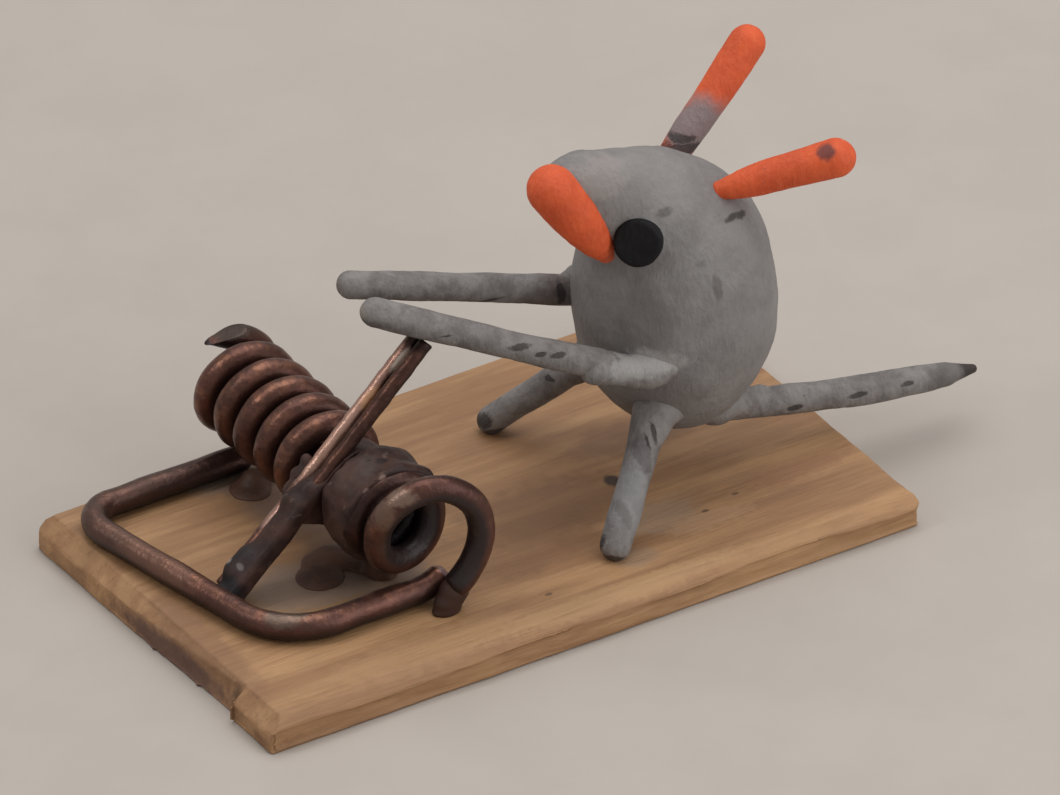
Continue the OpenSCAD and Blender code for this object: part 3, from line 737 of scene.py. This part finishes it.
def collar_shape(p):
    """A short drum round the core, necks up to the lever, and lumps on the far side."""
    shape = club(p, (COIL_X, -1.4, COIL_Z), (COIL_X, -0.1, COIL_Z), 2.7, 2.6)
    shape = merge(shape, club(p, lever_at(7.0, -0.5, -0.55), lever_at(10.4, -0.6, -0.95), 0.80, 0.75), 1.0)
    shape = merge(shape, club(p, lever_at(6.4, -0.55, -0.6), (-10.4, -1.1, 6.6), 0.65, 1.3), 0.8)
    shape = np.maximum(shape, np.maximum(p[..., 1] - COLLAR_ENDS[1], COLLAR_ENDS[0] - p[..., 1]))
    shape = merge(shape, club(p, (-11.6, 0.30, 9.0), (-12.7, 0.25, 7.4), 0.40, 0.62), 0.5)
    lumps = ((-11.6, 0.55, 9.35), 0.28), ((-12.15, 0.72, 8.35), 0.30), ((-12.6, 0.75, 7.6), 0.26)
    for lump, radius in lumps:
        shape = merge(shape, np.linalg.norm(p - np.array(lump), axis=-1) - radius, 0.4)
    return shape


collar = sculpt("collar_solder", collar_shape, (-14, -2.4, 4.2), (-5.8, 1.4, 12.4), 0.1, "snap", "solder",
                "axle_solder")


def skin_shape(p):
    """A tube over the turns of the wire, which show through it as low ridges, with a wavy end."""
    x, y, z = p[..., 0] - COIL_X, p[..., 1], p[..., 2] - COIL_Z
    around = np.hypot(x, z)
    turn = np.arctan2(z, x)
    end = -5.05 + 0.18 * np.sin(2 * turn + 0.6) - 0.25 * np.cos(turn)
    turns = np.cos(2 * np.pi * (y + 2.8) / 2.12 + turn - np.pi / 2)
    shell = np.abs(around - SKIN_R - 0.09 * turns) - SKIN_HALF_THICK
    shape = -merge(-shell, -np.maximum(end - y, y + 1.98), 0.35)
    return merge(shape, club(p, (-11.5, -2.3, 8.5), (-10.4, -3.7, 10.0), 0.45, 0.3), 0.8)


skin = sculpt("coil_skin_solder", skin_shape, (-13.2, -6.2, 3.2), (-4.8, -1.6, 11.6), 0.1, "root", "solder",
              "coil_skin")
roughen(lever_solder, (0.07, 1.9, 2), (0.03, 0.5, 5))
roughen(collar, (0.10, 1.4, 3), (0.03, 0.5, 6))
roughen(skin, (0.14, (1.4, 1.1, 1.4), 4), (0.06, (0.6, 0.5, 0.6), 7))

charred_solder, tree, shader, place = start_material("charred solder", Specular_IOR_Level=0.25)
smears = speckle(tree, place, 1.6, 0.36, 0.66, seed=8)
pits = speckle(tree, place, 0.45, 0.64, 0.74, seed=9, stretch=(1.6, 0.6, 1))
glints = speckle(tree, place, 0.6, 0.62, 0.72, seed=10, stretch=(1.5, 0.7, 1))
colour = over(tree, "#452E27", smears, "#2A1C1A", 0.9)
colour = over(tree, colour, glints, "#7A655C", 0.35)
colour = over(tree, colour, pits, "#1A1314", 0.8)
CHAR_TINTS_AND_GLINTS = [(lever_at(0.1, -0.25, 0.4), (0.9, 1.4, 0.75), 0.25, "#151417", 0.90),
              (lever_at(1.9, 0.0, 0.3), (1.2, 0.9, 1.1), 0.30, "#232024", 0.60),
              # The next two: painted highlights on the solder at the lever's foot.
              (lever_at(1.33, 0.6, 0.55), (0.26, 0.28, 0.28), 0.2, "#A0958F", 0.85),
              (lever_at(1.5, -0.24, 0.6), (0.20, 0.30, 0.24), 0.2, "#746C6C", 0.75),
              ((-9.1, -3.7, 10.6), (0.45, 0.26, 0.30), 0.3, "#171011", 0.90),
              ((-8.6, -4.6, 10.4), (0.50, 0.22, 0.30), 0.3, "#171011", 0.85),
              ((-9.8, -5.0, 10.4), (0.26, 0.12, 0.20), 0.3, "#8C7468", 0.70),
              ((-11.0, -5.0, 9.9), (0.24, 0.12, 0.20), 0.3, "#84706A", 0.70),
              ((-10.6, -3.2, 10.0), (1.8, 1.4, 0.9), 0.4, "#5E4A44", 0.30)]
colour = lay_stains_and_light(tree, place, colour, CHAR_TINTS_AND_GLINTS)
tree.links.new(colour, shader.inputs["Base Color"])
rough = node(tree, "MapRange", {"Value": smears, "To Min": 0.62, "To Max": 0.46}).outputs[0]
tree.links.new(rough, shader.inputs["Roughness"])
raise_surface(tree, shader, pits, -0.04)
for piece in (lever_solder, collar, skin):
    piece.data.materials.append(charred_solder)

# %% [markdown]
# Drops of brown epoxy hold the coils and the end of the loop to the board. A drop is a low dome with a thin
# foot that wets the wood. It is smooth, and dust has dulled its gloss.

# %% Glue
def drop(name, blobs, seed, *nodes):
    """Glue that spread on the board and runs together: each blob is a centre and three radii in mm."""
    def shape(p):
        made = egg(p, *blobs[0])
        for centre, radii in blobs[1:]:
            made = merge(made, egg(p, centre, radii), 0.3)
        return np.maximum(made, (BOARD_TOP - 0.12) - p[..., 2])

    centres, radii = np.array([blob[0] for blob in blobs]), np.array([blob[1] for blob in blobs])
    low, high = (centres - radii).min(0) - 0.4, (centres + radii).max(0) + 0.4
    made = sculpt(name, shape, low, high, 0.08, "root", "glue", *nodes)
    return roughen(made, (0.08, 1.6, seed), (0.02, 0.6, seed + 2))


LEFT_DROP = [((-10.4, 8.7, 2.2), (1.25, 1.3, 0.30)), ((-9.8, 9.1, 2.2), (1.0, 0.85, 0.9))]
MIDDLE_DROP = [((-11.9, -1.4, 2.2), (1.5, 1.4, 0.14)), ((-10.9, -0.2, 2.2), (1.3, 1.3, 0.20)),
               ((-9.9, 0.2, 2.2), (1.0, 1.0, 0.20)), ((-9.0, -1.2, 2.2), (1.2, 1.4, 0.3)),
               ((-8.6, -2.8, 2.2), (1.0, 1.1, 2.0))]
LOOP_END_DROP = [((-7.6, -8.4, 2.3), (0.95, 0.62, 0.35)), ((-7.5, -8.4, 2.8), (0.90, 0.68, 0.70)),
                 ((-7.1, -8.42, 3.5), (0.95, 0.76, 0.90))]
drops = [drop("left_coil_glue_drop", LEFT_DROP, 2, "left_coil_glue"),
         drop("middle_glue_drop", MIDDLE_DROP, 5, "middle_glue"),
         drop("loop_end_glue_drop", LOOP_END_DROP, 7, "loop_end_glue")]
epoxy, tree, shader, place = start_material("brown epoxy", Roughness=0.55, Specular_IOR_Level=0.3)
clouds = speckle(tree, place, 1.2, 0.35, 0.70, seed=11)
colour = over(tree, "#5E4236", clouds, "#48332A", 0.9)
colour = over(tree, colour, patch(tree, place, (-7.7, -8.6, 2.6), (1.8, 1.4, 1.9), 0.2), "#38251F", 0.85)
tree.links.new(colour, shader.inputs["Base Color"])
raise_surface(tree, shader, clouds, 0.03)
for piece in drops:
    piece.data.materials.append(epoxy)

# %% [markdown]
# The mouse's body is one ball of polymer clay pulled out to a snout, so head, snout and body run into each
# other without an edge. An egg, a round head, a ridge and a muzzle are merged softly, and a low pad under
# each eye, pressed flat, lets the eye sit on the clay all round.

# %% Mouse: body
MOUSE_Y = -1.9
BODY_C, BODY_RADII = np.array([12.4, MOUSE_Y, 13.8]), np.array([6.1, 6.1, 8.7])
HEAD_C, SNOUT_TIP = np.array([10.4, MOUSE_Y, 20.4]), np.array([4.7, MOUSE_Y, 24.2])
EYE_R = 1.45


def eye_place(side):
    """Centre and outward direction of an eye. side is 1 for the mouse's left and -1 for its right."""
    return np.array([7.70, MOUSE_Y + 3.20 * side, 20.55]), unit([-0.6, 0.65 * side, 0.3])


def body_shape(p):
    snout_end = SNOUT_TIP - 0.9 * unit(SNOUT_TIP - HEAD_C)
    shape = merge(egg(p, BODY_C, BODY_RADII), club(p, HEAD_C, snout_end, 3.5, 1.0), 1.6)
    shape = merge(shape, club(p, (8.6, MOUSE_Y, 19.4), SNOUT_TIP, 1.9, 1.15), 1.2)
    shape = merge(shape, club(p, (10.2, MOUSE_Y, 21.9), (6.0, MOUSE_Y, 24.25), 2.3, 1.35), 1.0)
    for side in (1, -1):
        centre, out = eye_place(side)
        shape = merge(shape, club(p, centre - 2.6 * out, centre - 1.25 * out, 1.5, 1.05), 0.9)
        shape = carve(shape, disc(p, centre + 1.2 * out, out, EYE_R + 0.12, 1.5, 0.1), 0.15)
    return shape


mouse_body = sculpt("mouse_body_clay", body_shape, (2.5, -8.8, 4.5), (19.2, 5, 26.5), 0.17, "root",
                    "grey_clay", "mouse_body")
roughen(mouse_body, (0.20, 5, 3), (0.07, 1.6, 7), (0.02, 0.5, 12))

# %% [markdown]
# The nose is a bean of orange clay down the front of the snout. The ears are clubs, slim at the root and
# round at the end, and the eyes are flat discs with a rounded edge.

# %% Mouse: nose, ears, eyes
def sausage(points, radii, pieces=10):
    """Distance to a rolled length through the points. The radii are spread along it and run together."""
    points, radii = np.asarray(points, float), np.asarray(radii, float)
    at = np.linspace(0, 1, pieces + 1)
    rail = np.stack([np.interp(at, np.linspace(0, 1, len(points)), column) for column in points.T], 1)
    girth = np.interp(at, np.linspace(0, 1, len(radii)), radii)
    clubs = list(zip(rail[:-1], rail[1:], girth[:-1], girth[1:]))
    return lambda p: np.minimum.reduce([club(p, *ends) for ends in clubs])


NOSE_FOOT, NOSE_HEAD = (6.95, -2.92, 19.15), (3.38, -2.66, 24.45)
nose = sculpt("nose_clay", sausage((NOSE_FOOT, NOSE_HEAD), (0.72, 1.10, 1.32, 1.43, 1.48, 1.50)),
              (0.6, -5.2, 17.4), (9, -0.4, 27.2), 0.12, "root", "orange_clay", "nose")
LEFT_EAR, RIGHT_EAR = ((14.2, 0.8, 21.6), (20.5, 1.8, 27.4)), ((14.45, -4.3, 21.65), (20.4, -8.5, 24.3))
LEFT_EAR_RADII = (0.90, 1.00, 1.02, 1.04, 1.08, 1.12, 1.14)
RIGHT_EAR_RADII = (0.55, 0.80, 0.96, 1.06, 1.12, 1.15, 1.15)
ears = []
for name, (base, tip), length, radii in (("left_ear", LEFT_EAR, 8.7, LEFT_EAR_RADII),
                                         ("right_ear", RIGHT_EAR, 7.9, RIGHT_EAR_RADII)):
    base = np.array(base)
    way = unit(np.array(tip) - base)
    line = base - way * 0.4, base + way * (length - radii[-1])
    low, high = np.minimum(*line) - 1.6, np.maximum(*line) + 1.6
    ears.append(sculpt(name + "_clay", sausage(line, radii), low, high, 0.12, "root", "orange_clay", name))
eyes = []
for name, side in (("left_eye", 1), ("right_eye", -1)):
    centre, out = eye_place(side)
    eyes.append(sculpt(name + "_disc", lambda p: disc(p, centre - 0.7 * out, out, EYE_R, 0.7, 0.25),
                       centre - 2.4, centre + 2.4, 0.09, "root", "black_clay", name))
for seed, piece in enumerate([nose, *ears]):
    roughen(piece, (0.10, 3.2, seed), (0.02, 0.6, seed + 4))
for piece in eyes:
    roughen(piece, (0.03, 0.8, 3))

# %% [markdown]
# Arms, legs and tail are rolled sausages of clay. Rolling by hand leaves them a little thick and thin, and
# they bend slightly. Where one joins the body, more clay is smeared over the joint with a tool. A limb and
# its smear are separate pieces that press into each other.

# %% Mouse: limbs and tail
def along_line(a, b, sag, count=5):
    """Points from a to b that bow by sag, a vector in mm."""
    a, b, sag = (np.array(v, float) for v in (a, b, sag))
    return [a + (b - a) * t + sag * math.sin(math.pi * t) for t in np.linspace(0, 1, count)]


def limb(name, points, radii, node_name, seed):
    """An arm, a leg or the tail: rolled, then set on the board."""
    points = np.array(points)
    roll = sausage(points, radii)
    low, high = points.min(0) - max(radii) - 0.4, points.max(0) + max(radii) + 0.4
    made = sculpt(name, lambda p: np.maximum(roll(p), (BOARD_TOP - 0.02) - p[..., 2]), low, high, 0.12,
                  "root", "grey_clay", node_name)
    return roughen(made, (0.09, 2.6, seed), (0.02, 0.6, seed + 3))


def pulled_in(a, b, end_r):
    """The last centre before the round end, so that the limb ends at b."""
    a, b = np.array(a, float), np.array(b, float)
    return b - unit(b - a) * end_r


RIGHT_SHOULDER, RIGHT_HAND = (7.2, -5.6, 12.1), (-7.8, 0.45, 18.4)
LEFT_SHOULDER, LEFT_HAND = (7.65, 1.8, 13.6), (-8.2, 2.3, 19.25)
RIGHT_HIP, RIGHT_FOOT = (8.8, -5.0, 8.5), (3.5, -9.1, 2.2)
LEFT_HIP, LEFT_FOOT = (9.1, 1.8, 8.5), (4.6, 6.7, 2.2)
TAIL_ROOT, TAIL_END = (13.2, -2.4, 5.7), (31.7, -5.0, 3.5)
HAND_R, FAR_HAND_R = 0.90, 0.84
TAIL_RADII = (1.0, 0.95, 0.9, 0.88, 0.88, 0.90, 0.92, 0.90, 0.88, 0.84, 0.72, 0.30)

right_arm = limb("right_arm_clay",
                 along_line(RIGHT_SHOULDER, pulled_in(RIGHT_SHOULDER, RIGHT_HAND, HAND_R), (0, 0, -0.1)),
                 (0.95, 0.90, 0.84, 0.88, HAND_R), "right_arm", 2)
left_arm = limb("left_arm_clay",
                along_line(LEFT_SHOULDER, pulled_in(LEFT_SHOULDER, LEFT_HAND, FAR_HAND_R), (0, 0, 0.05)),
                (0.92, 0.86, 0.84, 0.86, FAR_HAND_R), "left_arm", 5)
right_leg = limb("right_leg_clay",
                 along_line(RIGHT_HIP, np.array(RIGHT_FOOT) + [0.35, 0.25, 0.75], (0.1, 0, 0)),
                 (1.05, 1.0, 0.98, 0.96, 0.92), "right_leg", 3)
left_leg = limb("left_leg_clay",
                along_line(LEFT_HIP, np.array(LEFT_FOOT) + [0.35, -0.3, 0.75], (0.1, 0, 0)),
                (1.0, 0.95, 0.88, 0.86, 0.86), "left_leg", 7)
tail_line = along_line(TAIL_ROOT, np.array(TAIL_END) - [0.3, 0, 0], (0, -0.5, -0.1), 9)
tail = limb("tail_clay", tail_line, TAIL_RADII, "tail", 4)

# %% Mouse: smears of clay at the joints
def smear(name, blobs, node_name, seed):
    """Clay pressed over a joint: each blob is a start, an end and two radii in mm."""
    def shape(p):
        made = None
        for a, b, ra, rb in blobs:
            part = club(p, a, b, ra, rb)
            made = part if made is None else merge(made, part, 0.5)
        return np.maximum(made, (BOARD_TOP + 0.02) - p[..., 2])

    ends = np.array([q for blob in blobs for q in blob[:2]], float)
    made = sculpt(name, shape, ends.min(0) - 2, ends.max(0) + 2, 0.13, "root", "grey_clay", node_name)
    return roughen(made, (0.12, 1.8, seed), (0.03, 0.5, seed + 1))


smears = [
    smear("right_shoulder_smear", [((4.9, -5.0, 12.65), (8.0, -5.75, 12.0), 0.90, 0.95),
                                   ((8.0, -5.75, 12.0), (9.4, -6.35, 12.35), 0.95, 0.66),
                                   ((9.4, -6.35, 12.35), (10.8, -7.05, 12.6), 0.66, 0.34),
                                   ((8.6, -6.0, 12.0), (9.2, -6.0, 11.0), 0.7, 0.4)],
          "right_shoulder_putty", 3),
    smear("left_shoulder_smear", [((7.2, 2.0, 13.6), (9.0, 3.2, 13.2), 0.80, 0.9)], "left_shoulder_putty", 5),
    smear("right_hip_smear", [((6.8, -6.7, 6.2), (8.4, -5.6, 7.9), 0.85, 1.05),
                              ((8.4, -5.6, 7.9), (9.6, -4.8, 9.0), 1.05, 1.3),
                              ((9.0, -5.2, 8.4), (12.0, -5.0, 8.3), 1.1, 0.9)], "right_hip_putty", 7),
    smear("left_hip_smear", [((7.4, 3.7, 6.4), (9.8, 1.6, 8.8), 0.8, 1.4)], "left_hip_putty", 9),
    smear("tail_smear", [((11.6, -4.2, 7.4), (14.2, -3.7, 6.3), 1.1, 1.05),
                         ((14.2, -3.7, 6.3), (17.6, -3.2, 5.3), 1.05, 0.78)], "tail_putty", 11)]

# %% [markdown]
# Polymer clay is opaque and matte once it is baked, and here it has a coat of grey acrylic paint. Paint on
# clay is never one tone: it is thin on high spots and gathers in hollows, and the brush leaves faint streaks.
# Chips show the dark clay beneath. The speckle sizes are 2 mm for the clouds and 0.3 mm for the brush grain.

# %% Painted clay
def painted_clay(name, base, cloud, thin, chips, tints_and_light, cloud_size=2.4, shine=0.5):
    """Matte paint over clay. chips are dark ragged spots, and the tints are soft stains and painted light and
    shade, placed in mm.
    """
    material, tree, shader, place = start_material(name, Roughness=0.66, IOR=1.45, Specular_IOR_Level=shine)
    clouds = speckle(tree, place, cloud_size, 0.36, 0.66, seed=12)
    brush = speckle(tree, place, 0.32, 0.34, 0.70, seed=13, stretch=(1, 1, 2.2))
    specks = speckle(tree, place, 0.42, 0.67, 0.74, seed=14)
    colour = over(tree, base, clouds, cloud, 0.8)
    colour = over(tree, colour, brush, thin, 0.22)
    colour = over(tree, colour, specks, "#4A4644", 0.45)
    colour = lay_stains_and_light(tree, place, colour, tints_and_light)
    marks = None
    for centre, radii in chips:
        mark = patch(tree, place, centre, radii, 0.45, 0.30)
        if marks is None:
            marks = mark
        else:
            marks = node(tree, "Math", {0: marks, 1: mark}, operation="MAXIMUM").outputs[0]
    bump = raise_surface(tree, shader, brush, 0.03)
    if marks is not None:
        colour = over(tree, colour, marks, "#2A2525", 0.82)
        raise_surface(tree, shader, marks, -0.06, bump)
    tree.links.new(colour, shader.inputs["Base Color"])
    return material


# The first entry is a painted highlight on the top of the snout.
BODY_TINTS_AND_LIGHT = [((6.3, -3.0, 24.4), (1.8, 1.8, 1.2), 0.5, "#9A908C", 0.60),
              # The next two: painted shade on the front and the lower part of the body.
              ((7.2, -6.6, 15.6), (2.2, 2.6, 2.6), 0.4, "#5C5858", 0.55),
              ((8.6, -5.8, 10.2), (3.2, 2.6, 2.0), 0.4, "#66605F", 0.35),
              # Painted light on the top of the head.
              ((9.0, -4.4, 23.6), (3.6, 3.0, 2.2), 0.4, "#8E8A88", 0.35),
              ((7.6, -6.4, 12.9), (2.6, 1.5, 0.75), 0.6, "#A3A19F", 0.60),
              # Painted light on the right side of the body.
              ((16.2, -4.6, 12.0), (1.6, 3.0, 5.0), 0.4, "#8B8785", 0.30),
              ((9.8, -4.8, 21.9), (0.50, 0.4, 0.28), 0.5, "#4E4A4A", 0.65),
              ((11.8, -7.4, 17.4), (0.28, 0.4, 1.0), 0.6, "#565252", 0.60),
              ((11.1, -6.9, 18.9), (0.40, 0.4, 0.30), 0.5, "#5A5656", 0.55),
              ((14.4, -6.0, 18.6), (0.40, 0.4, 0.30), 0.5, "#565252", 0.50)]
BODY_CHIPS = [((14.3, -5.6, 20.35), (0.70, 0.5, 0.18)), ((15.1, -5.4, 20.2), (0.70, 0.5, 0.20)),
              ((8.4, -6.5, 8.6), (0.16, 0.5, 0.9))]
LIMB_TINTS = [((7.6, -6.4, 12.9), (2.6, 1.5, 0.75), 0.6, "#A3A19F", 0.70),
              ((5.2, -7.8, 5.6), (1.8, 2.0, 3.0), 0.4, "#8B8C8E", 0.45),
              ((6.9, -6.9, 7.2), (0.50, 1.0, 1.5), 0.6, "#4C4748", 0.60),
              ((4.6, -8.4, 4.6), (0.35, 1.0, 0.9), 0.6, "#57524F", 0.55),
              ((-8.1, 0.5, 18.4), (0.5, 0.7, 0.6), 0.3, "#8C8378", 0.55),
              ((-7.2, 0.2, 17.7), (1.0, 1.0, 0.45), 0.3, "#4A4442", 0.60),
              ((-8.6, 2.3, 19.2), (0.6, 1.0, 0.8), 0.3, "#5E5048", 0.50),
              ((5.4, 1.9, 14.2), (2.2, 1.2, 1.2), 0.4, "#54423D", 0.60),
              ((29.6, -5.2, 3.9), (1.6, 0.9, 0.9), 0.5, "#4A4543", 0.50),
              ((31.4, -5.1, 3.8), (1.0, 0.9, 0.9), 0.3, "#2E2522", 0.90)]
LIMB_CHIPS = [((4.2, 6.1, 3.2), (0.50, 0.60, 0.50)), ((5.0, 5.6, 2.5), (0.9, 0.8, 0.32)),
              ((0.4, -3.8, 15.1), (0.8, 0.4, 0.20)), ((1.6, -4.2, 14.5), (0.4, 0.3, 0.14)),
              ((2.6, -4.6, 14.3), (0.5, 0.4, 0.16)), ((-3.4, -2.0, 16.5), (0.6, 0.3, 0.10)),
              ((6.4, 0.9, 14.3), (0.30, 0.5, 0.9)), ((5.0, 0.8, 13.4), (1.6, 0.5, 0.16)),
              ((1.0, 1.2, 15.3), (1.4, 0.4, 0.12)), ((7.1, 3.2, 6.9), (0.4, 0.4, 0.20)),
              ((7.9, -6.8, 8.5), (0.15, 0.5, 1.0)), ((7.4, -6.9, 8.1), (0.10, 0.5, 0.7)),
              ((3.1, -8.5, 3.2), (0.30, 0.4, 0.55)), ((3.4, -9.3, 2.5), (0.6, 0.6, 0.28)),
              ((4.3, 6.6, 2.9), (0.32, 0.4, 0.45)), ((4.9, 5.9, 2.4), (0.7, 0.5, 0.25)),
              ((19.1, -4.6, 4.8), (0.50, 0.3, 0.20)), ((21.0, -4.9, 5.4), (0.7, 0.3, 0.12)),
              ((23.2, -5.2, 4.6), (0.6, 0.3, 0.16)), ((26.5, -5.6, 4.4), (0.5, 0.3, 0.16)),
              ((28.6, -5.5, 5.0), (0.6, 0.3, 0.12)), ((30.9, -5.4, 4.3), (0.6, 0.5, 0.15))]
grey_clay = painted_clay("grey painted clay", "#7F7C7B", "#706D6C", "#8D8A89", BODY_CHIPS, BODY_TINTS_AND_LIGHT)
mouse_body.data.materials.append(grey_clay)
rolled_clay = painted_clay("grey painted clay, rolled", "#7F7B79", "#5C5756", "#928E8C", LIMB_CHIPS,
                           LIMB_TINTS, 1.3)
for piece in (right_arm, left_arm, right_leg, left_leg, tail, *smears):
    piece.data.materials.append(rolled_clay)
orange_clay = painted_clay("orange painted clay", "#D8592C", "#C34B26", "#E27247",
                           [((14.0, 0.1, 22.0), (1.5, 1.3, 0.40)), ((14.4, 0.5, 22.6), (0.8, 0.9, 0.26))],
                           [((15.3, 0.3, 23.1), (2.2, 1.8, 1.7), 0.25, "#807778", 0.95),
                            ((18.8, -8.2, 24.8), (0.55, 0.6, 0.50), 0.4, "#5A3434", 0.85),
                            # Painted shade on the foot of the nose, beside the eye.
                            ((7.3, -3.6, 19.0), (0.9, 0.9, 0.6), 0.4, "#A8583E", 0.50)])
for piece in (nose, *ears):
    piece.data.materials.append(orange_clay)
black_clay = painted_clay("black painted clay", "#18171A", "#111012", "#222124", [], [], 1.5, 0.2)
for piece in eyes:
    piece.data.materials.append(black_clay)
print("painted clay on", 6 + len(smears) + 1 + len(ears) + len(eyes), "pieces")
